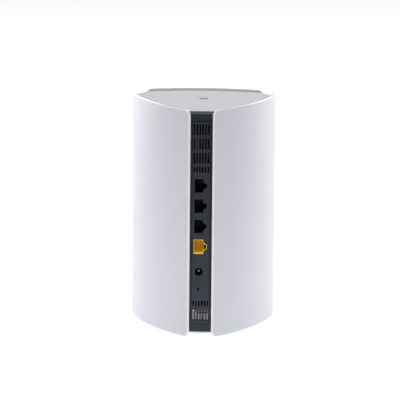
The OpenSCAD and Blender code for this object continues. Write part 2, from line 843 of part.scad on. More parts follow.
module coax_left() { coax(0, [[-4, -21, 5], [-8, -22, 10], [-13, -22, 5], [-26, -20, -8]], 38); }
module coax_right() { coax(1, [[4, 28, 0], [18, 18, -2], [28, 0, -2]], 22); }
module coax_rear() { coax(2, [[2, 32, 3], [10, 36, 10]], 24); }

// ---- Status light ----

module led_board() {
    color("#1f5a3c") translate([0, light_y, z_led]) difference() {
        cylinder(r = led_board_r, h = led_board_t);
        for (s = [-1, 1]) translate([s * led_post_at, 0, -1]) cylinder(r = 0.9, h = led_board_t + 2);
    }
}

module leds() {
    color("#f4f1d8") for (i = [0 : led_n - 1]) translate([0, light_y, z_led + led_board_t])
        rotate(45 + i * 360 / led_n) translate([4.8, -0.8, 0]) cube([1.6, 1.6, 0.7]);
}

module led_screws() {
    color("silver") for (s = [-1, 1]) translate([s * led_post_at, light_y, z_led]) {
        cylinder(r = led_screw_r, h = led_board_t + 3);
        translate([0, 0, -0.9]) cylinder(r = 1.4, h = 0.9);
    }
}

// Flat lead from the status light's board down to the main board
module led_ribbon() {
    w = 8;
    t = 0.5;
    y0 = light_y - w / 2;
    drop = 10;
    color("#cfd2d6") {
        translate([x_board, y0, z_led - drop]) cube([t, w, drop - 1.2]);
        translate([x_board, y0, z_led - 1.2 - t]) cube([6, w, t]);
        translate([x_board + 6 - t, y0, z_led - 1.2 - t]) cube([t, w, 1.2 + t]);
    }
}

wing_rear();
wing_left();
wing_right();
top_cap();
status_lens();
status_badge();
inner_frame();
port_strip();
port_panel();
rear_strip_left();
rear_strip_right();
base_plate();
rubber_feet();
base_screws();
main_board();
lan_jack_1();
lan_jack_2();
lan_jack_3();
wan_jack();
jack_shields();
jack_contacts();
power_jack();
power_pin();
reset_switch();
reset_button();
shield_cans();
thermal_pads();
heat_sink();
rear_heat_sink();
rear_thermal_pad();
heat_sink_screws();
magnetics();
capacitors();
inductors();
flash_chip();
coax_sockets();
antenna_left();
antenna_right();
antenna_rear();
coax_left();
coax_right();
coax_rear();
led_board();
leds();
led_screws();
led_ribbon();
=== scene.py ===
import math

import bmesh
import bpy
from bpy.props import FloatProperty, FloatVectorProperty, IntProperty, PointerProperty
from bpy.types import Operator, Panel, PropertyGroup
from mathutils import Matrix, Vector


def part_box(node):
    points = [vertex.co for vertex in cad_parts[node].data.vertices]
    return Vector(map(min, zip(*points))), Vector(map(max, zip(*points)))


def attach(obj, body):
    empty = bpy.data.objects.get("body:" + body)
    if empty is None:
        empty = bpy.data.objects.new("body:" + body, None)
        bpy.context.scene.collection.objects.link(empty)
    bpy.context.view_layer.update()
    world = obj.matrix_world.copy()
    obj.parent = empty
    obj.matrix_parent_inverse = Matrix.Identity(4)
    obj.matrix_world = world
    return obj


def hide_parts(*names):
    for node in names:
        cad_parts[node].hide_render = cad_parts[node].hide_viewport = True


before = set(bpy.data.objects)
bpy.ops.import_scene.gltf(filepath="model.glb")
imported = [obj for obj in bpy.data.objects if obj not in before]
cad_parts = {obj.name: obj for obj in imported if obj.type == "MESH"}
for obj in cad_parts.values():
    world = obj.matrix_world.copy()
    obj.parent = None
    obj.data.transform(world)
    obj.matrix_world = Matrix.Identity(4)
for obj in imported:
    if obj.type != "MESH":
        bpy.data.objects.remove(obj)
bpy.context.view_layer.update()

bl_info = {
    "name": "Mesh wifi node",
    "version": (1, 0, 0),
    "blender": (4, 5, 0),
    "location": "3D View > Sidebar > Wifi node",
    "description": "Builds the outer pieces and finishes of a mesh wifi node round its CAD frame",
    "category": "Object",
}

MM = 0.001
TOWER = "tower"
BUTTON = "button"
WING_AT = {"wing_rear": 90, "wing_left": 210, "wing_right": 330}


# ---- Sizes and colours ----


def length(name, text, default, **limits):
    return FloatProperty(name=name, description=text, default=default, unit="LENGTH", precision=5, **limits)


def colour(name, text, default):
    return FloatVectorProperty(
        name=name, description=text, default=default, subtype="COLOR", size=3, min=0, max=1)


class NodeSizes(PropertyGroup):
    """Sizes of the pieces that are made here"""

    wing_radius: length("Wing radius", "Outer radius of a wing's curved face", 0.1753)
    wing_wall: length("Wing wall", "Thickness of a wing", 0.002)
    wing_gap: length("Wing gap", "Distance between the inner edges of two wings", 0.019)
    wing_corner: length("Wing corner", "Radius of a wing's four corners", 0.0055)
    wing_edge: length("Wing edge", "Rounding of a wing's outer edge", 0.0009)
    wing_back_edge: length("Wing inner edge", "Rounding of a wing's inner edge", 0.0005)
    wing_columns: IntProperty(
        name="Wing columns", description="Number of faces across a wing", default=44, min=8, max=200)
    hook_side: length("Hook place", "Distance of a wing's hooks from its middle", 0.026)
    hook_width: length("Hook width", "Width of a wing's hooks", 0.008)
    lens_radius: length("Lens radius", "Outer radius of the status light's lens", 0.007)
    badge_radius: length("Badge radius", "Radius of the plain disc in the lens", 0.0046)
    floor_size: length("Floor size", "Side of the studio floor", 14.0)


class NodeColours(PropertyGroup):
    """Colours of the pieces"""

    wing: colour("Wings", "Satin white of the wings", (0.715, 0.73, 0.80))
    cap: colour("Cap", "Light grey of the cap", (0.66, 0.662, 0.69))
    core: colour("Core", "Dark blue-grey of the corner strips", (0.024, 0.029, 0.038))
    panel: colour("Port panel", "Dark blue-grey of the port panel", (0.026, 0.032, 0.043))
    inside: colour("Frame", "Dark grey of the frame", (0.022, 0.025, 0.030))
    base: colour("Base plate", "Light grey of the base plate", (0.52, 0.52, 0.54))
    lens: colour("Lens", "Milky white of the lens", (0.86, 0.88, 0.90))
    badge: colour("Badge", "Grey of the disc in the lens", (0.36, 0.365, 0.375))
    socket: colour("Sockets", "Black of the network sockets", (0.009, 0.009, 0.011))
    socket_wan: colour("Internet socket", "Yellow of the internet socket", (1.0, 0.72, 0.06))
    rubber: colour("Feet", "Black of the rubber feet", (0.016, 0.016, 0.017))
    board: colour("Boards", "Green of the circuit boards", (0.012, 0.085, 0.045))
    floor: colour("Floor", "White of the studio floor", (0.45, 0.45, 0.45))


def sizes():
    return bpy.context.scene.wifi_node_sizes


def colours():
    return bpy.context.scene.wifi_node_colours


# ---- Finishes ----


class Finish:
    """A material in the making: its node tree, its surface shader and a few short ways to add nodes"""

    def __init__(self, name):
        self.material = bpy.data.materials.new(name)
        self.material.use_nodes = True
        self.tree = self.material.node_tree
        self.surface = self.tree.nodes["Principled BSDF"]
        self.place = self.add("ShaderNodeTexCoord").outputs["Object"]

    def add(self, kind, **inputs):
        node = self.tree.nodes.new(kind)
        for key, value in inputs.items():
            self.feed(node.inputs[key], value)
        return node

    def feed(self, socket, value):
        if isinstance(value, bpy.types.NodeSocket):
            self.tree.links.new(value, socket)
        else:
            socket.default_value = value

    def fix(self, **values):
        """Sets sockets of the surface that are the same all over it"""
        for key, value in values.items():
            self.surface.inputs[key.replace("_", " ")].default_value = value

    def stretch(self, scale):
        """The object's coordinates, scaled by three factors"""
        node = self.add("ShaderNodeMapping", Vector=self.place, Scale=scale)
        return node.outputs["Vector"]

    def noise(self, size, detail=3.0, place=None):
        """Cloudy pattern whose features are about size metres across"""
        node = self.add("ShaderNodeTexNoise", Vector=place or self.place, Scale=1 / size, Detail=detail)
        return node.outputs["Fac"]

    def cells(self, size):
        """Distance from the middles of scattered cells about size metres apart"""
        return self.add("ShaderNodeTexVoronoi", Vector=self.place, Scale=1 / size).outputs["Distance"]

    def along(self, axis):
        """One of the object's coordinates"""
        return self.add("ShaderNodeSeparateXYZ", Vector=self.place).outputs[axis]

    def span(self, value, low, high, start=0.0, end=1.0):
        """Maps value from start..end to low..high"""
        node = self.add("ShaderNodeMapRange", Value=value)
        for key, number in (("From Min", start), ("From Max", end), ("To Min", low), ("To Max", high)):
            node.inputs[key].default_value = number
        return node.outputs["Result"]

    def blend(self, share, first, second):
        node = self.tree.nodes.new("ShaderNodeMix")
        node.data_type = "RGBA"
        self.feed(node.inputs[0], share)
        self.feed(node.inputs[6], opaque(first))
        self.feed(node.inputs[7], opaque(second))
        return node.outputs[2]

    def maths(self, operation, first, second=0.0):
        node = self.tree.nodes.new("ShaderNodeMath")
        node.operation = operation
        self.feed(node.inputs[0], first)
        self.feed(node.inputs[1], second)
        return node.outputs[0]

    def edges(self, strength):
        """Strength at a piece's convex edges, fading to nothing on its faces; callers lighten them there for
        rubbing, and as a painted highlight on the wings and chip bodies
        """
        convex = self.add("ShaderNodeNewGeometry").outputs["Pointiness"]
        mask = self.span(convex, 0, strength, 0.505, 0.56)
        broken = self.span(self.noise(3 * MM, 4), 0.35, 1, 0.35, 0.65)
        return self.maths("MULTIPLY", mask, broken)

    def bump(self, height, depth, strength=1.0):
        node = self.add("ShaderNodeBump", Height=height, Distance=depth, Strength=strength)
        self.feed(self.surface.inputs["Normal"], node.outputs["Normal"])

    def paint(self, base, rough):
        self.feed(self.surface.inputs["Base Color"], base)
        self.feed(self.surface.inputs["Roughness"], rough)
        return self.material


def opaque(value):
    """A colour with its fourth number, or a socket or number as it is"""
    return (*value, 1) if hasattr(value, "__len__") and len(value) == 3 else value


def tint(rgb, factor):
    return tuple(min(1.0, c * factor) for c in rgb)


def moulded(name, rgb, rough=0.42, vary=0.03, grain=0.45, depth=0.012, rub_and_highlight=0.2, rub_and_highlight_tint=1.25, **fixed):
    """Injection-moulded plastic: spark-eroded grain, faint flow marks and lighter edges, polished by
    handling, which on the wings are a painted highlight
    """
    return moulding(Finish(name), rgb, rough, vary, grain, depth, rub_and_highlight, rub_and_highlight_tint, **fixed)


def moulding(f, rgb, rough, vary, grain, depth, rub_and_highlight, rub_and_highlight_tint, shade=None, **fixed):
    """Fills in a moulded finish; shade scales its colour from spot to spot"""
    clouds = f.noise(38 * MM, 4)
    flow = f.noise(9 * MM, 2, f.stretch((1, 1, 0.12)))
    skin = f.noise(grain * MM, 2)
    share = f.maths("ADD", f.maths("MULTIPLY", clouds, 0.6), f.maths("MULTIPLY", flow, 0.4))
    tone = f.blend(share, tint(rgb, 1 - vary), tint(rgb, 1 + vary))
    speck = f.blend(f.span(skin, 0, 0.35, 0.3, 0.75), tone, tint(rgb, 1 - 2 * vary))
    # Lighter edges: polish from handling, and on the wings a painted highlight
    base = f.blend(f.edges(rub_and_highlight), speck, tint(rgb, rub_and_highlight_tint))
    if shade:
        scaled = f.add("ShaderNodeVectorMath")
        scaled.operation = "SCALE"
        f.feed(scaled.inputs["Vector"], base)
        f.feed(scaled.inputs["Scale"], shade)
        base = scaled.outputs["Vector"]
    gloss = f.span(f.maths("ADD", f.maths("MULTIPLY", skin, 0.5), f.maths("MULTIPLY", clouds, 0.5)),
                   rough - 0.07, rough + 0.07, 0.3, 0.7)
    f.bump(skin, depth * MM, 0.6)
    f.fix(**fixed)
    return f.paint(base, gloss)


def strip_plastic(name, rgb, top_highlight=0.0):
    """Dark moulded plastic with painted shade, deeper in colour towards its top; the last argument is how
    much lighter a painted highlight makes its very top
    """
    f = Finish(name)
    # Painted shade: lighter low down, darker towards the top
    shade = f.span(f.along("Z"), 1.15, 0.55, 40 * MM, 190 * MM)
    if top_highlight:
        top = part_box("port_strip")[1].z
        # Painted highlight: the top 1.5 mm is lighter
        band = f.span(f.along("Z"), 0, top_highlight, top - 1.7 * MM, top - 1.5 * MM)
        shade = f.maths("ADD", shade, band)
    return moulding(f, rgb, 0.55, 0.06, 0.4, 0.014, 0.35, 1.9, shade, Specular_IOR_Level=0.3)


# The yellow socket: where the painted shadow of its latch notch starts, how strongly its walls glow as
# painted light and half its mouth's height
NOTCH_AT = 2.8 * MM
SOCKET_PAINTED_GLOW = 0.15
MOUTH_HALF = 6.1 * MM
# Colours of the socket's painted glow: amber further in, lemon at its lower wall
AMBER_PAINTED_GLOW = (0.86, 0.36, 0.02)
LEMON_PAINTED_GLOW = (0.95, 0.62, 0.06)


def socket_with_painted_light(name, rgb):
    """Socket with painted light: a faint glow, lemon as a painted highlight at its lower wall, amber further
    in, painted shade deeper in and a painted black shadow in the latch notch
    """
    f = Finish(name)
    low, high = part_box("wan_jack")
    rim = f.span(f.along("Y"), 0, 1, low.y + 0.4 * MM, low.y + 1.4 * MM)
    deep = f.span(f.along("Y"), 0, 1, low.y + 0.5 * MM, low.y + 9 * MM)
    wall = (low.z + high.z) / 2 - MOUTH_HALF
    lower = f.maths("MULTIPLY", f.span(f.along("Z"), 1, 0, wall + 0.1 * MM, wall + 0.5 * MM),
                    f.span(f.along("Y"), 1, 0, low.y + 6 * MM, low.y + 9 * MM))
    # Painted shadow: the latch notch is painted nearly black
    notch = f.maths("MULTIPLY", f.span(f.along("X"), 0, 1, NOTCH_AT - 0.1 * MM, NOTCH_AT + 0.1 * MM), rim)
    unshadowed_part = f.span(notch, 1, 0.02, 0.2, 0.8)
    # Painted light: the walls glow, most strongly at the lower wall
    glow = f.maths("MULTIPLY", f.span(lower, SOCKET_PAINTED_GLOW, 2.6 * SOCKET_PAINTED_GLOW), f.span(deep, 0.75, 1.2))
    f.feed(f.surface.inputs["Emission Color"], f.blend(lower, AMBER_PAINTED_GLOW, LEMON_PAINTED_GLOW))
    f.feed(f.surface.inputs["Emission Strength"],
           f.maths("MULTIPLY", f.maths("MULTIPLY", glow, unshadowed_part), f.span(rim, 0.4, 1)))
    # Painted shade: darker deeper in, and black in the notch
    shade = f.maths("MULTIPLY", unshadowed_part, f.span(deep, 1, 0.55))
    return moulding(f, rgb, 0.36, 0.05, 0.5, 0.010, 0.5, 1.25, shade)


def plated(name, rgb, rough=0.25, brushed=(1, 1, 1), tarnish=0.3):
    """Plated or bare metal: fine drawn lines, tarnish in patches and bright edges"""
    f = Finish(name)
    lines = f.noise(0.5 * MM, 3, f.stretch(brushed))
    patches = f.noise(6 * MM, 5)
    dull = f.span(patches, 0, tarnish, 0.45, 0.75)
    base = f.blend(dull, f.blend(lines, tint(rgb, 0.9), tint(rgb, 1.06)), tint(rgb, 0.55))
    base = f.blend(f.edges(0.5), base, tint(rgb, 1.3))
    f.bump(lines, 0.006 * MM, 0.5)
    f.fix(Metallic=1.0)
    return f.paint(base, f.span(f.maths("ADD", lines, patches), rough - 0.08, rough + 0.16, 0.7, 1.4))


def laminate(name, rgb):
    """Circuit board: lacquer over copper tracks that run in straight lines, with small pads"""
    f = Finish(name)
    tracks = f.noise(1.1 * MM, 1, f.stretch((1, 0.16, 1)))
    cross = f.noise(1.3 * MM, 1, f.stretch((1, 1, 0.14)))
    copper = f.span(f.maths("MAXIMUM", tracks, cross), 0, 1, 0.56, 0.60)
    pads = f.span(f.cells(4.2 * MM), 1, 0, 0.10, 0.13)
    base = f.blend(f.maths("MULTIPLY", copper, 0.55), rgb, tint(rgb, 2.1))
    base = f.blend(pads, base, (0.62, 0.47, 0.20))
    f.bump(f.maths("ADD", copper, pads), 0.03 * MM, 0.7)
    return f.paint(base, f.span(f.noise(2 * MM, 3), 0.22, 0.42, 0.3, 0.7))


def rubber(name, rgb, rough=0.75):
    """Soft elastomer: pitted skin with pale dust caught in it"""
    f = Finish(name)
    pits = f.noise(0.35 * MM, 3)
    dust = f.span(f.noise(2.2 * MM, 5), 0, 0.5, 0.5, 0.75)
    base = f.blend(dust, f.blend(pits, tint(rgb, 0.8), tint(rgb, 1.25)), tint(rgb, 2.4))
    f.bump(pits, 0.05 * MM, 0.8)
    return f.paint(base, f.span(pits, rough - 0.1, rough + 0.1, 0.3, 0.7))


def chip_body(name, rgb):
    """Moulded epoxy: a fine granular matt skin with a slight painted highlight on its rim"""
    f = Finish(name)
    grains = f.cells(0.22 * MM)
    clouds = f.noise(3 * MM, 3)
    # Painted highlight: the rim is lighter
    base = f.blend(f.edges(0.5), f.blend(clouds, tint(rgb, 0.8), tint(rgb, 1.3)), tint(rgb, 2.5))
    f.bump(grains, 0.02 * MM, 0.7)
    return f.paint(base, f.span(grains, 0.45, 0.7))


def frosted(name, rgb):
    """Milky lens: light scatters under a finely frosted surface"""
    f = Finish(name)
    frost = f.noise(0.25 * MM, 3)
    depth = f.noise(2.5 * MM, 2)
    f.bump(frost, 0.01 * MM, 0.5)
    f.fix(Subsurface_Weight=0.35, Subsurface_Scale=0.002, IOR=1.49)
    return f.paint(f.blend(depth, tint(rgb, 0.96), tint(rgb, 1.04)), f.span(frost, 0.26, 0.42, 0.3, 0.7))


def striped_lead(name, rgb):
    """Flat lead: conductors show as ribs along it"""
    f = Finish(name)
    wave = f.add("ShaderNodeTexWave", Vector=f.place, Scale=1 / (6.4 * MM))
    wave.bands_direction = "Y"
    ribs = wave.outputs["Fac"]
    base = f.blend(ribs, tint(rgb, 0.7), rgb)
    base = f.blend(f.span(f.noise(1.5 * MM, 3), 0, 0.2), base, tint(rgb, 0.5))
    f.bump(ribs, 0.08 * MM)
    return f.paint(base, f.span(ribs, 0.38, 0.55))


finishes = {}


def finish_of(key):
    """The finish of that name, made once"""
    if key not in finishes:
        c = colours()
        makers = {
            # The wings' edges are lightened at full strength as a painted highlight
            "wing": lambda: moulded("satin_white_plastic", c.wing, 0.40, 0.008, 0.4, 0.010, 1.0, 1.16,
                                    Coat_Weight=0.6, Coat_Roughness=0.25, Sheen_Weight=0.25,
                                    Sheen_Roughness=0.25),
            # Painted highlight: the wings' rims are whiter than their faces
            "wing_rim_highlight": lambda: moulded("white_rim_painted_highlight", tint(c.wing, 1.33), 0.26, 0.004, 0.4, 0.002,
                                        0.2, 1.0, Coat_Weight=1.0, Coat_Roughness=0.12),
            "cap": lambda: moulded("matt_light_grey_plastic", c.cap, 0.50, 0.015, 0.4, 0.014, 0.5, 1.12),
            "core": lambda: strip_plastic("dark_strip_plastic", c.core, 1.5),
            "panel": lambda: strip_plastic("dark_panel_plastic", c.panel),
            "base": lambda: moulded("light_grey_base_plastic", c.base, 0.55, 0.03, 0.6, 0.020, 0.3, 1.2),
            "inside": lambda: moulded("dark_frame_plastic", c.inside, 0.55, 0.08, 0.6, 0.020, 0.3, 1.8),
            "socket": lambda: moulded("black_socket_plastic", c.socket, 0.45, 0.08, 0.5, 0.010, 0.3, 2.5,
                                      Specular_IOR_Level=0.25),
            "socket_wan": lambda: socket_with_painted_light("yellow_socket_plastic", c.socket_wan),
            "button": lambda: moulded("grey_button_plastic", (0.045, 0.045, 0.047), 0.5, 0.05, 0.3, 0.01),
            "lens": lambda: frosted("milky_lens", c.lens),
            "badge": lambda: moulded("grey_badge_plastic", c.badge, 0.36, 0.03, 0.3, 0.010, 0.5, 1.3),
            "rubber": lambda: rubber("black_rubber", c.rubber),
            "thermal": lambda: rubber("blue_thermal_rubber", (0.28, 0.38, 0.52), 0.8),
            "jacket": lambda: rubber("black_lead_jacket", (0.014, 0.014, 0.016), 0.5),
            "steel": lambda: plated("zinc_plated_steel", (0.62, 0.62, 0.61), 0.32),
            "tin": lambda: plated("tin_plate", (0.42, 0.415, 0.40), 0.36, (1, 1, 0.2), 0.6),
            "gold": lambda: plated("gold_plate", (0.86, 0.60, 0.24), 0.24, (1, 0.2, 1)),
            "nickel": lambda: plated("nickel_pin_plate", (0.22, 0.215, 0.20), 0.34, (1, 0.15, 1), 0.15),
            # Painted shade: the heat sinks are nearly black so the inside looks dark through the vents
            "aluminium": lambda: plated("aluminium_darkened_as_painted_shade", (0.030, 0.031, 0.033), 0.45,
                                        (1, 1, 0.06)),
            "board": lambda: laminate("green_laminate", c.board),
            "epoxy": lambda: chip_body("black_epoxy", (0.014, 0.014, 0.015)),
            "ferrite": lambda: chip_body("grey_ferrite", (0.060, 0.061, 0.064)),
            "sleeve": lambda: moulded("blue_can_sleeve", (0.020, 0.040, 0.13), 0.3, 0.05, 0.8, 0.01),
            "phosphor": lambda: frosted("yellow_phosphor", (0.86, 0.80, 0.42)),
            "ribbon": lambda: striped_lead("grey_flat_lead", (0.60, 0.61, 0.63)),
        }
        finishes[key] = makers[key]()
    return finishes[key]


# ---- Mesh making ----


def place_piece(name, bm, finish, body, slot, nodes, *more):
    """Turns a bmesh into a piece that rides on a CAD body and stands for CAD nodes"""
    bmesh.ops.recalc_face_normals(bm, faces=bm.faces)
    mesh = bpy.data.meshes.new(name)
    bm.to_mesh(mesh)
    bm.free()
    for key in (finish, *more):
        mesh.materials.append(finish_of(key))
    piece = bpy.data.objects.new(name, mesh)
    bpy.context.scene.collection.objects.link(piece)
    mesh.shade_smooth()
    weighted = piece.modifiers.new("Even normals", "WEIGHTED_NORMAL")
    weighted.weight = 60
    weighted.keep_sharp = True
    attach(piece, body)
    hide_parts(*nodes)
    return piece


def welded(node, pierced):
    """A closed bmesh of a CAD node: its flat faces in one piece each, or in four-sided bits round openings"""
    bm = bmesh.new()
    bm.from_mesh(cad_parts[node].data)
    bmesh.ops.remove_doubles(bm, verts=bm.verts, dist=2e-6)
    if pierced:
        bmesh.ops.join_triangles(bm, faces=bm.faces, angle_face_threshold=math.radians(0.2),
                                 angle_shape_threshold=math.pi)
    else:
        bmesh.ops.dissolve_limit(bm, angle_limit=math.radians(0.2), verts=bm.verts, edges=bm.edges)
    return bm


def soften(bm, radius, segments=2, sharp=28):
    """Rounds every edge of a bmesh that is sharper than so many degrees"""
    limit = math.radians(sharp)
    edges = [e for e in bm.edges if len(e.link_faces) == 2 and e.calc_face_angle(0) > limit]
    bmesh.ops.bevel(
        bm, geom=edges, offset=radius, segments=segments, profile=0.5, affect="EDGES", clamp_overlap=True)
    return bm


def rounded_piece(node, finish, slot, radius, body=TOWER, segments=2, pierced=False):
    """A piece with a CAD node's shape and softly rounded edges"""
    bm = soften(welded(node, pierced), radius * MM, segments)
    return place_piece(node + "_skin", bm, finish, body, slot, [node])


def turned(bm, profile, centre, segments=64):
    """Adds a solid turned about a vertical line; profile is [(radius, height), ...] from bottom to top"""
    rings = []
    for radius, height in profile:
        if radius < 1e-9:
            rings.append([bm.verts.new(centre + Vector((0, 0, height)))])
            continue
        ring = []
        for i in range(segments):
            a = 2 * math.pi * i / segments
            ring.append(bm.verts.new(centre + Vector((radius * math.cos(a), radius * math.sin(a), height))))
        rings.append(ring)
    for low, high in zip(rings, rings[1:]):
        for i in range(segments):
            j = (i + 1) % segments
            quad = [low[i % len(low)], low[j % len(low)], high[j % len(high)], high[i % len(high)]]
            corners = list(dict.fromkeys(quad))
            if len(corners) > 2:
                bm.faces.new(corners)


def arc(cx, cy, radius, start, end, steps):
    """Points of an arc as (across, up), with angles in degrees"""
    return [(cx + radius * math.cos(math.radians(start + (end - start) * k / steps)),
             cy + radius * math.sin(math.radians(start + (end - start) * k / steps)))
            for k in range(steps + 1)]


# ---- Wings ----

HOOK_ROWS = (0.024, 0.096, 0.168)
HOOK_HEIGHT = 0.004
HOOK_THICKNESS = 0.003
HOOK_CLEARANCE = 0.0026


def rounded_loop(half_w, half_h, corner, inset, columns, rows, steps):
    """Points round a rounded rectangle, anticlockwise from its lower right corner"""
    radius = max(corner - inset, 0)
    cx, cy = half_w - corner, half_h - corner
    points = []
    for quarter in range(4):
        a = quarter * math.pi / 2
        out = (math.cos(a), math.sin(a))
        run = (-out[1], out[0])
        reach = (half_w if quarter % 2 == 0 else half_h) - inset
        half = cy if quarter % 2 == 0 else cx
        count = rows if quarter % 2 == 0 else columns
        for k in range(count):
            t = -half + 2 * half * k / count
            points.append((out[0] * reach + run[0] * t, out[1] * reach + run[1] * t))
        mx, my = out[0] * (reach - radius) + run[0] * half, out[1] * (reach - radius) + run[1] * half
        for k in range(steps):
            b = a + math.pi / 2 * k / steps
            points.append((mx + radius * math.cos(b), my + radius * math.sin(b)))
    return points


def wing_profile(s):
    """Rings of a wing from its outer face over its edge to its inner face: (inset, depth)"""
    steps = 6
    flat = s.wing_corner - 0.6 * MM
    front = [(s.wing_edge * (1 - math.sin(math.pi / 2 * k / steps)),
              s.wing_edge * (1 - math.cos(math.pi / 2 * k / steps))) for k in range(steps + 1)]
    back = [(s.wing_back_edge * (1 - math.cos(math.pi / 2 * k / 3)),
             s.wing_wall - s.wing_back_edge * (1 - math.sin(math.pi / 2 * k / 3))) for k in range(4)]
    rings = [(flat, 0.0), (s.wing_edge + 0.25 * MM, 0.0)]
    rings += front + back + [(s.wing_back_edge + 0.25 * MM, s.wing_wall), (flat, s.wing_wall)]
    return rings


def add_wing_shell(bm, s, apothem, low, high):
    """The wing's curved shell with rounded corners and edges, in the wing's own direction"""
    inner = s.wing_radius - s.wing_wall
    half_angle = math.radians(60) - math.asin(
        (s.wing_gap / 2 + math.sin(math.radians(60)) * (s.wing_radius - apothem)) / inner)
    half_w, half_h = s.wing_radius * half_angle, (high - low) / 2
    columns, rows, steps = s.wing_columns, 30, 8
    middle = (high + low) / 2

    def at(across, up, depth):
        r, a = s.wing_radius - depth, across / s.wing_radius
        return bm.verts.new((apothem - s.wing_radius + r * math.cos(a), r * math.sin(a), middle + up))

    loops = []
    for inset, depth in wing_profile(s):
        points = rounded_loop(half_w, half_h, s.wing_corner, inset, columns, rows, steps)
        loops.append([at(x, y, depth) for x, y in points])
    # The rim rings take the second material, a whiter painted highlight
    rims = range(1, len(loops) - 2)
    for ring, (first, second) in enumerate(zip(loops, loops[1:])):
        for i in range(len(first)):
            j = (i + 1) % len(first)
            bm.faces.new((first[i], first[j], second[j], second[i])).material_index = int(ring in rims)
    cx, cy = half_w - s.wing_corner, half_h - s.wing_corner
    for loop, depth in ((loops[0], 0.0), (loops[-1], s.wing_wall)):
        grid = [[at(-cx + 2 * cx * i / columns, -cy + 2 * cy * j / rows, depth) for j in range(rows + 1)]
                for i in range(columns + 1)]
        for i in range(columns):
            for j in range(rows):
                bm.faces.new((grid[i][j], grid[i + 1][j], grid[i + 1][j + 1], grid[i][j + 1]))
        sides = [
            [grid[columns][j] for j in range(rows + 1)],
            [grid[columns - i][rows] for i in range(columns + 1)],
            [grid[0][rows - j] for j in range(rows + 1)],
            [grid[i][0] for i in range(columns + 1)],
        ]
        k = 0
        for side in sides:
            for first, second in zip(side, side[1:]):
                bm.faces.new((loop[k], loop[k + 1], second, first))
                k += 1
            for _ in range(steps):
                bm.faces.new((loop[k], loop[(k + 1) % len(loop)], side[-1]))
                k += 1


def add_wing_hooks(bm, s, apothem, low):
    """The hooks on a wing's inner face, which reach through the frame and hang behind its wall"""
    inner = s.wing_radius - s.wing_wall

    def reach(y):
        return apothem - s.wing_radius + math.sqrt(inner * inner - y * y)

    x0 = reach(s.hook_side + s.hook_width / 2) - HOOK_CLEARANCE - HOOK_THICKNESS
    x1 = reach(s.hook_side - s.hook_width / 2) + 0.1 * MM
    outline = [(x0, -HOOK_HEIGHT), (x0 + HOOK_THICKNESS, -HOOK_HEIGHT), (x0 + HOOK_THICKNESS, 0),
               (x1, 0), (x1, HOOK_HEIGHT), (x0, HOOK_HEIGHT)]
    for side in (-1, 1):
        for row in HOOK_ROWS:
            hook = bmesh.new()
            ends = []
            for y in (side * s.hook_side - s.hook_width / 2, side * s.hook_side + s.hook_width / 2):
                ends.append([hook.verts.new((x, y, low + row + z)) for x, z in outline])
            for end in ends:
                hook.faces.new(end)
            for i in range(len(outline)):
                j = (i + 1) % len(outline)
                hook.faces.new((ends[0][i], ends[0][j], ends[1][j], ends[1][i]))
            bmesh.ops.recalc_face_normals(hook, faces=hook.faces)
            soften(hook, 0.3 * MM)
            part = bpy.data.meshes.new("hook")
            hook.to_mesh(part)
            hook.free()
            bm.from_mesh(part)
            bpy.data.meshes.remove(part)


class WIFINODE_OT_wings(Operator):
    """Make the three white wings: curved shells with rounded corners, soft edges and hooks"""

    bl_idname = "wifinode.wings"
    bl_label = "Wings"

    def execute(self, context):
        s = sizes()
        for name, angle in WING_AT.items():
            low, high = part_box(name)
            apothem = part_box("wing_rear")[1].y
            bm = bmesh.new()
            add_wing_shell(bm, s, apothem, low.z, high.z)
            add_wing_hooks(bm, s, apothem, low.z)
            bm.transform(Matrix.Rotation(math.radians(angle), 4, "Z"))
            place_piece(name + "_shell", bm, "wing", TOWER, "white_plastic", [name], "wing_rim_highlight")
        return {"FINISHED"}


# ---- Cap and status light ----

CAP_WALL = 2 * MM
LENS_RIM = 0.35 * MM
LENS_GAP = 0.02 * MM
FLANGE_THICKNESS = 1.2 * MM
FLANGE_EDGE = 0.2 * MM
PEG_COUNT = 4
PEG_REACH = 5.6 * MM
PEG_RADIUS = 1.2 * MM
PEG_EDGE = 0.2 * MM
PEG_TOP = 1.0 * MM
BADGE_CLEARANCE = 0.1 * MM
BADGE_EDGE = 0.2 * MM
BADGE_DISH = 0.1 * MM


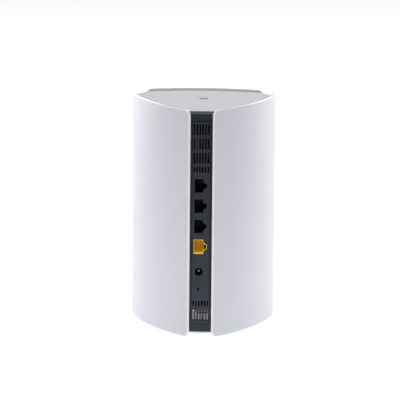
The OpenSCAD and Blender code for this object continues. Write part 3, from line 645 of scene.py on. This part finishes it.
class WIFINODE_OT_cap(Operator):
    """Make the light grey cap with its milky lens ring and plain badge"""

    bl_idname = "wifinode.cap"
    bl_label = "Cap and status light"

    def execute(self, context):
        s = sizes()
        rounded_piece("top_cap", "cap", "cap_plastic", 0.35, segments=3)
        badge_low, badge_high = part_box("status_badge")
        lens_low, lens_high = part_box("status_lens")
        centre = Vector(((badge_low.x + badge_high.x) / 2, (badge_low.y + badge_high.y) / 2, 0))
        flange = (lens_high.x - lens_low.x) / 2
        inner = s.badge_radius + BADGE_CLEARANCE
        top = lens_high.z
        cap_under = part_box("port_strip")[1].z - CAP_WALL
        bm = bmesh.new()
        under = cap_under - FLANGE_THICKNESS
        over = cap_under - LENS_GAP
        profile = [(0, under)]
        profile += arc(flange - FLANGE_EDGE, under + FLANGE_EDGE, FLANGE_EDGE, -90, 0, 3)
        profile += arc(flange - FLANGE_EDGE, over - FLANGE_EDGE, FLANGE_EDGE, 0, 90, 3)
        profile += [(s.lens_radius, over)]
        profile += arc(s.lens_radius - LENS_RIM, top - LENS_RIM, LENS_RIM, 0, 90, 5)
        profile += arc(inner + LENS_RIM, top - LENS_RIM, LENS_RIM, 90, 180, 5)
        profile += [(inner, badge_low.z - LENS_GAP), (0, badge_low.z - LENS_GAP)]
        turned(bm, profile, centre)
        for k in range(PEG_COUNT):
            a = math.radians(45 + 360 / PEG_COUNT * k)
            foot = centre + PEG_REACH * Vector((math.cos(a), math.sin(a), 0))
            peg = [(0, lens_low.z)]
            peg += arc(PEG_RADIUS - PEG_EDGE, lens_low.z + PEG_EDGE, PEG_EDGE, -90, 0, 3)
            peg += [(PEG_RADIUS, cap_under - PEG_TOP), (0, cap_under - PEG_TOP)]
            turned(bm, peg, foot, 24)
        place_piece("status_lens_ring", bm, "lens", TOWER, "lens", ["status_lens"])
        bm = bmesh.new()
        side = s.badge_radius - BADGE_EDGE
        disc = [(0, badge_low.z)] + arc(side, badge_low.z + BADGE_EDGE, BADGE_EDGE, -90, 0, 3)
        disc += arc(side, badge_high.z - BADGE_EDGE, BADGE_EDGE, 0, 90, 4)
        disc += [(s.badge_radius * 0.6, badge_high.z - 0.6 * BADGE_DISH), (0, badge_high.z - BADGE_DISH)]
        turned(bm, disc, centre)
        place_piece("status_badge_disc", bm, "badge", TOWER, "badge", ["status_badge"])
        return {"FINISHED"}


# ---- Core: strips, port panel, frame, base ----

FOOT_RADIUS = 6.5 * MM
FOOT_EDGE = 0.6 * MM
FOOT_TOP_EDGE = 0.15 * MM
# The hollow in the middle of a foot's underside
HOLLOW_RADIUS = 3.4 * MM
HOLLOW_DEPTH = 0.35 * MM


class WIFINODE_OT_port_side(Operator):
    """Make the dark port strip and the raised panel with its vents and openings"""

    bl_idname = "wifinode.port_side"
    bl_label = "Port strip and panel"

    def execute(self, context):
        rounded_piece("port_strip", "core", "strip_plastic", 0.3, pierced=True)
        rounded_piece("port_panel", "panel", "strip_plastic", 0.15, pierced=True)
        return {"FINISHED"}


class WIFINODE_OT_sockets(Operator):
    """Make the network sockets with their shields and spring contacts"""

    bl_idname = "wifinode.sockets"
    bl_label = "Network sockets"

    def execute(self, context):
        for name in ("lan_jack_1", "lan_jack_2", "lan_jack_3"):
            rounded_piece(name, "socket", "jack_black", 0.15)
        rounded_piece("wan_jack", "socket_wan", "jack_yellow", 0.15)
        rounded_piece("jack_shields", "tin", "tin_plate", 0.08)
        rounded_piece("jack_contacts", "gold", "gold_plate", 0.05)
        return {"FINISHED"}


class WIFINODE_OT_power_and_reset(Operator):
    """Make the power inlet with its pin, and the reset switch with its button"""

    bl_idname = "wifinode.power_and_reset"
    bl_label = "Power inlet and reset"

    def execute(self, context):
        rounded_piece("power_jack", "socket", "jack_black", 0.2)
        rounded_piece("power_pin", "nickel", "pin_plate", 0.3, segments=3)
        rounded_piece("reset_switch", "socket", "jack_black", 0.2)
        rounded_piece("reset_button", "button", "button_plastic", 0.15, body=BUTTON)
        return {"FINISHED"}


class WIFINODE_OT_rear_strips(Operator):
    """Make the two dark rear corner strips with their vents"""

    bl_idname = "wifinode.rear_strips"
    bl_label = "Rear strips"

    def execute(self, context):
        for name in ("rear_strip_left", "rear_strip_right"):
            rounded_piece(name, "core", "strip_plastic", 0.25, pierced=True)
        return {"FINISHED"}


class WIFINODE_OT_base(Operator):
    """Make the base plate, its screws, the rubber feet and the frame"""

    bl_idname = "wifinode.base"
    bl_label = "Base and frame"

    def execute(self, context):
        rounded_piece("inner_frame", "inside", "frame_plastic", 0.3, pierced=True)
        rounded_piece("base_plate", "base", "base_plastic", 0.3, pierced=True)
        rounded_piece("base_screws", "steel", "screw_steel", 0.15)
        low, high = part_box("rubber_feet")
        bm = bmesh.new()
        reach = high.y - FOOT_RADIUS
        for angle in WING_AT.values():
            a = math.radians(angle)
            centre = Vector((reach * math.cos(a), reach * math.sin(a), 0))
            profile = [(0, HOLLOW_DEPTH), (HOLLOW_RADIUS, HOLLOW_DEPTH)]
            profile += [(HOLLOW_RADIUS + 0.3 * MM, 0.05 * MM)]
            profile += arc(4.2 * MM, 0.3 * MM, 0.3 * MM, -90, -80, 1)
            profile += arc(FOOT_RADIUS - FOOT_EDGE, FOOT_EDGE, FOOT_EDGE, -90, 0, 5)
            profile += arc(FOOT_RADIUS - FOOT_TOP_EDGE, high.z - FOOT_TOP_EDGE, FOOT_TOP_EDGE, 0, 90, 3)
            profile += [(0, high.z)]
            turned(bm, profile, centre, 48)
        place_piece("rubber_feet_pads", bm, "rubber", TOWER, "foot_rubber", ["rubber_feet"])
        return {"FINISHED"}


# ---- Electronics and antennas ----

ROUNDED_INSIDE = {
    "heat_sink": ("aluminium", "sink_aluminium", 0.25),
    "rear_heat_sink": ("aluminium", "sink_aluminium", 0.25),
    "heat_sink_screws": ("steel", "screw_steel", 0.12),
    "shield_cans": ("tin", "tin_plate", 0.15),
    "magnetics": ("epoxy", "epoxy", 0.3),
    "capacitors": ("sleeve", "can_sleeve", 0.2),
    "inductors": ("ferrite", "ferrite", 0.5),
    "flash_chip": ("epoxy", "epoxy", 0.1),
    "thermal_pads": ("thermal", "thermal_rubber", 0.2),
    "rear_thermal_pad": ("thermal", "thermal_rubber", 0.2),
    "led_screws": ("steel", "screw_steel", 0.1),
}
KEPT_INSIDE = {
    "main_board": "board",
    "led_board": "board",
    "coax_sockets": "gold",
    "antenna_left": "board",
    "antenna_right": "board",
    "antenna_rear": "board",
    "coax_left": "jacket",
    "coax_right": "jacket",
    "coax_rear": "jacket",
    "leds": "phosphor",
    "led_ribbon": "ribbon",
}


class WIFINODE_OT_electronics(Operator):
    """Finish the boards, heat sinks, shields, antennas and leads inside the core"""

    bl_idname = "wifinode.electronics"
    bl_label = "Electronics"

    def execute(self, context):
        for node, (finish, slot, radius) in ROUNDED_INSIDE.items():
            rounded_piece(node, finish, slot, radius)
        for node, finish in KEPT_INSIDE.items():
            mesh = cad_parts[node].data
            mesh.materials.clear()
            mesh.materials.append(finish_of(finish))
        return {"FINISHED"}


# ---- Stage ----

CAMERA_DISTANCE = 3.2908
CAMERA_ELEVATION = 11.46
CAMERA_AZIMUTH = 1.24
CAMERA_ROLL = 0.508
CAMERA_LENS = 328.2
SENSOR_WIDTH = 36
# How far right of and below the picture's middle the wings' middle lies, as shares of its width
OFF_CENTRE = (0.006625, 0.023525)
FLOOR_GLOW = 0.86
# Share of the floor's glow left in its painted shadow under the object
SHADED_SHARE = 0.22
FAR_SHARE = 0.5
SURROUNDINGS = 0.02
# Distances over which the floor's glow changes: from the axis for its painted shadow under the object, in
# front and to each side
SHADE_REACH = (40 * MM, 48 * MM)
FRONT_REACH = (-0.9, -0.4)
SIDE_REACH = (0.4, 1.1)
# Each light's name, azimuth, elevation, distance, width, height and power
SOFTBOXES = (
    ("left_softbox", -135, 14, 1.6, 1.2, 1.4, 13.8),
    ("right_softbox", 135, 14, 1.6, 1.2, 1.4, 13.8),
    ("left_strip_light", -35, 12, 1.5, 0.25, 1.1, 1.6),
    ("right_strip_light", 35, 12, 1.5, 0.25, 1.1, 0.9),
    ("front_softbox", 0, 27, 2.4, 1.2, 0.8, 2.0),
    ("top_softbox", 0, 86, 1.7, 1.6, 1.2, 24.5),
)


def studio_white(name, rgb, glow):
    """Plain painted floor that glows: a faint mottle, a painted shadow under the object, and dimmer far from
    it
    """
    f = Finish(name)
    mottle = f.noise(0.4, 2)
    f.fix(Emission_Color=(1, 1, 1, 1))
    away = f.add("ShaderNodeVectorMath", Vector=f.place)
    away.operation = "LENGTH"
    # Painted shadow: less glow under the object
    under = f.span(away.outputs["Value"], SHADED_SHARE, 1, *SHADE_REACH)
    front = f.span(f.along("Y"), FAR_SHARE, 1, *FRONT_REACH)
    sides = f.span(f.maths("ABSOLUTE", f.along("X")), 1, FAR_SHARE, *SIDE_REACH)
    share = f.maths("MINIMUM", under, f.maths("MINIMUM", front, sides))
    f.feed(f.surface.inputs["Emission Strength"], f.maths("MULTIPLY", share, glow))
    return f.paint(f.blend(mottle, tint(rgb, 0.995), rgb), f.span(mottle, 0.85, 0.95))


def direction(azimuth, elevation):
    """Unit vector towards a place at those angles in degrees; azimuth 0 is straight in front"""
    a, e = math.radians(azimuth), math.radians(elevation)
    return Vector((math.sin(a) * math.cos(e), -math.cos(a) * math.cos(e), math.sin(e)))


def softbox(name, azimuth, elevation, distance, width, height, power, aim):
    """A rectangular soft light, aimed at a point"""
    back = direction(azimuth, elevation)
    data = bpy.data.lights.new(name, "AREA")
    data.shape = "RECTANGLE"
    data.size, data.size_y, data.energy = width, height, power
    light = bpy.data.objects.new(name, data)
    light.location = aim + back * distance
    light.rotation_mode = "QUATERNION"
    light.rotation_quaternion = (-back).to_track_quat("-Z", "Y")
    bpy.context.scene.collection.objects.link(light)


def add_floor(scene):
    bm = bmesh.new()
    bmesh.ops.create_grid(bm, x_segments=4, y_segments=4, size=sizes().floor_size / 2)
    mesh = bpy.data.meshes.new("studio_floor")
    bm.to_mesh(mesh)
    bm.free()
    mesh.materials.append(studio_white("floor_paint", colours().floor, FLOOR_GLOW))
    floor = bpy.data.objects.new("studio_floor", mesh)
    scene.collection.objects.link(floor)


def add_surroundings(scene):
    world = bpy.data.worlds.new("studio_surroundings")
    world.use_nodes = True
    background = world.node_tree.nodes["Background"]
    background.inputs["Color"].default_value = (1, 1, 1, 1)
    background.inputs["Strength"].default_value = SURROUNDINGS
    scene.world = world


def add_camera(scene, aim):
    """A long lens, rolled a little, with the point aim slightly off the picture's middle"""
    back = direction(CAMERA_AZIMUTH, CAMERA_ELEVATION)
    data = bpy.data.cameras.new("studio_camera")
    data.lens = CAMERA_LENS
    data.sensor_width = SENSOR_WIDTH
    data.clip_start, data.clip_end = 0.1, 50
    width = CAMERA_DISTANCE * data.sensor_width / data.lens
    roll = Matrix.Rotation(math.radians(CAMERA_ROLL), 3, "Z")
    rolled = (-back).to_track_quat("-Z", "Y").to_matrix() @ roll
    right, up = rolled.col[0], rolled.col[1]
    spot = aim - right * OFF_CENTRE[0] * width + up * OFF_CENTRE[1] * width
    camera = bpy.data.objects.new("studio_camera", data)
    camera.location = aim + back * CAMERA_DISTANCE
    view = (spot - camera.location).normalized()
    camera.rotation_mode = "QUATERNION"
    camera.rotation_quaternion = (view.to_track_quat("-Z", "Y").to_matrix() @ roll).to_quaternion()
    scene.collection.objects.link(camera)
    scene.camera = camera


class WIFINODE_OT_stage(Operator):
    """Set up the floor, the soft lights, the surroundings and the camera"""

    bl_idname = "wifinode.stage"
    bl_label = "Stage"

    def execute(self, context):
        scene = bpy.context.scene
        scene.view_settings.view_transform = "Standard"
        add_floor(scene)
        add_surroundings(scene)
        low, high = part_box("wing_rear")
        aim = Vector((0, 0, (low.z + high.z) / 2))
        for row in SOFTBOXES:
            softbox(*row, aim)
        add_camera(scene, aim)
        return {"FINISHED"}


# ---- Sidebar panel and registration ----

STEPS = (
    WIFINODE_OT_stage,
    WIFINODE_OT_wings,
    WIFINODE_OT_cap,
    WIFINODE_OT_port_side,
    WIFINODE_OT_sockets,
    WIFINODE_OT_power_and_reset,
    WIFINODE_OT_rear_strips,
    WIFINODE_OT_base,
    WIFINODE_OT_electronics,
)


class WIFINODE_PT_build(Panel):
    """Lists the steps, the sizes and the colours"""

    bl_label = "Wifi node"
    bl_idname = "WIFINODE_PT_build"
    bl_space_type = "VIEW_3D"
    bl_region_type = "UI"
    bl_category = "Wifi node"

    def draw(self, context):
        steps = self.layout.column(align=True)
        for step in STEPS:
            steps.operator(step.bl_idname)
        for group in (context.scene.wifi_node_sizes, context.scene.wifi_node_colours):
            box = self.layout.box()
            for key in group.__annotations__:
                box.prop(group, key)


CLASSES = (NodeSizes, NodeColours, *STEPS, WIFINODE_PT_build)


def register():
    for cls in CLASSES:
        bpy.utils.register_class(cls)
    bpy.types.Scene.wifi_node_sizes = PointerProperty(type=NodeSizes)
    bpy.types.Scene.wifi_node_colours = PointerProperty(type=NodeColours)


def unregister():
    del bpy.types.Scene.wifi_node_colours
    del bpy.types.Scene.wifi_node_sizes
    for cls in reversed(CLASSES):
        bpy.utils.unregister_class(cls)


def main():
    register()
    for step in STEPS:
        group, name = step.bl_idname.split(".")
        getattr(getattr(bpy.ops, group), name)()


if __name__ == "__main__":
    main()
